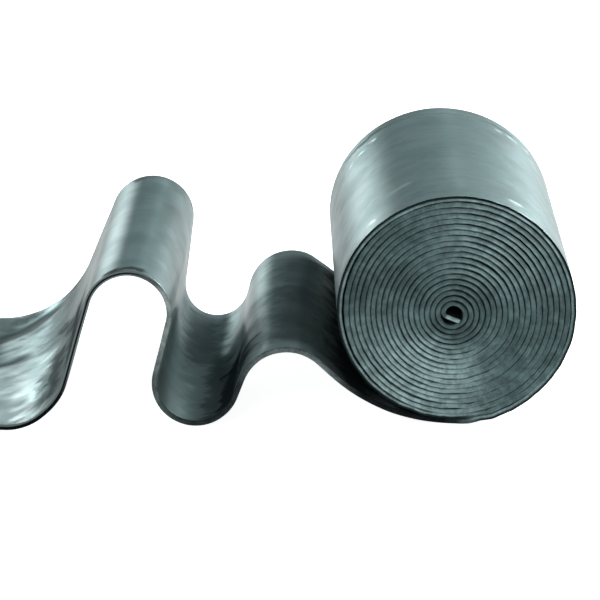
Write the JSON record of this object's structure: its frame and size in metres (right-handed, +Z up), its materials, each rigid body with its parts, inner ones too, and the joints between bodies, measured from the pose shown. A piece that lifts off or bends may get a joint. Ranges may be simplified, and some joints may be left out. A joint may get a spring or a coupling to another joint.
{
  "type": "roll of roof flashing",
  "caption": "Strip of sheet lead roof flashing, wound in a tight roll lying on its side, its free end unrolled in waves that come to rest on the floor.",
  "frame": {"origin": "middle of the footprint, on the floor that the roll lies on", "axes": "+X from the flat end of the tail towards the roll, +Y along the roll's axis away from the end that shows its turns, +Z up"},
  "size_m": [0.2134, 0.1554, 0.0795],
  "materials": {
    "lead": "dull weathered sheet lead, grey with a green-blue tinge, rubbed bright along its ridges"
  },
  "bodies": {
    "root": {"flashing_strip": "lead"}
  },
  "joints": []
}
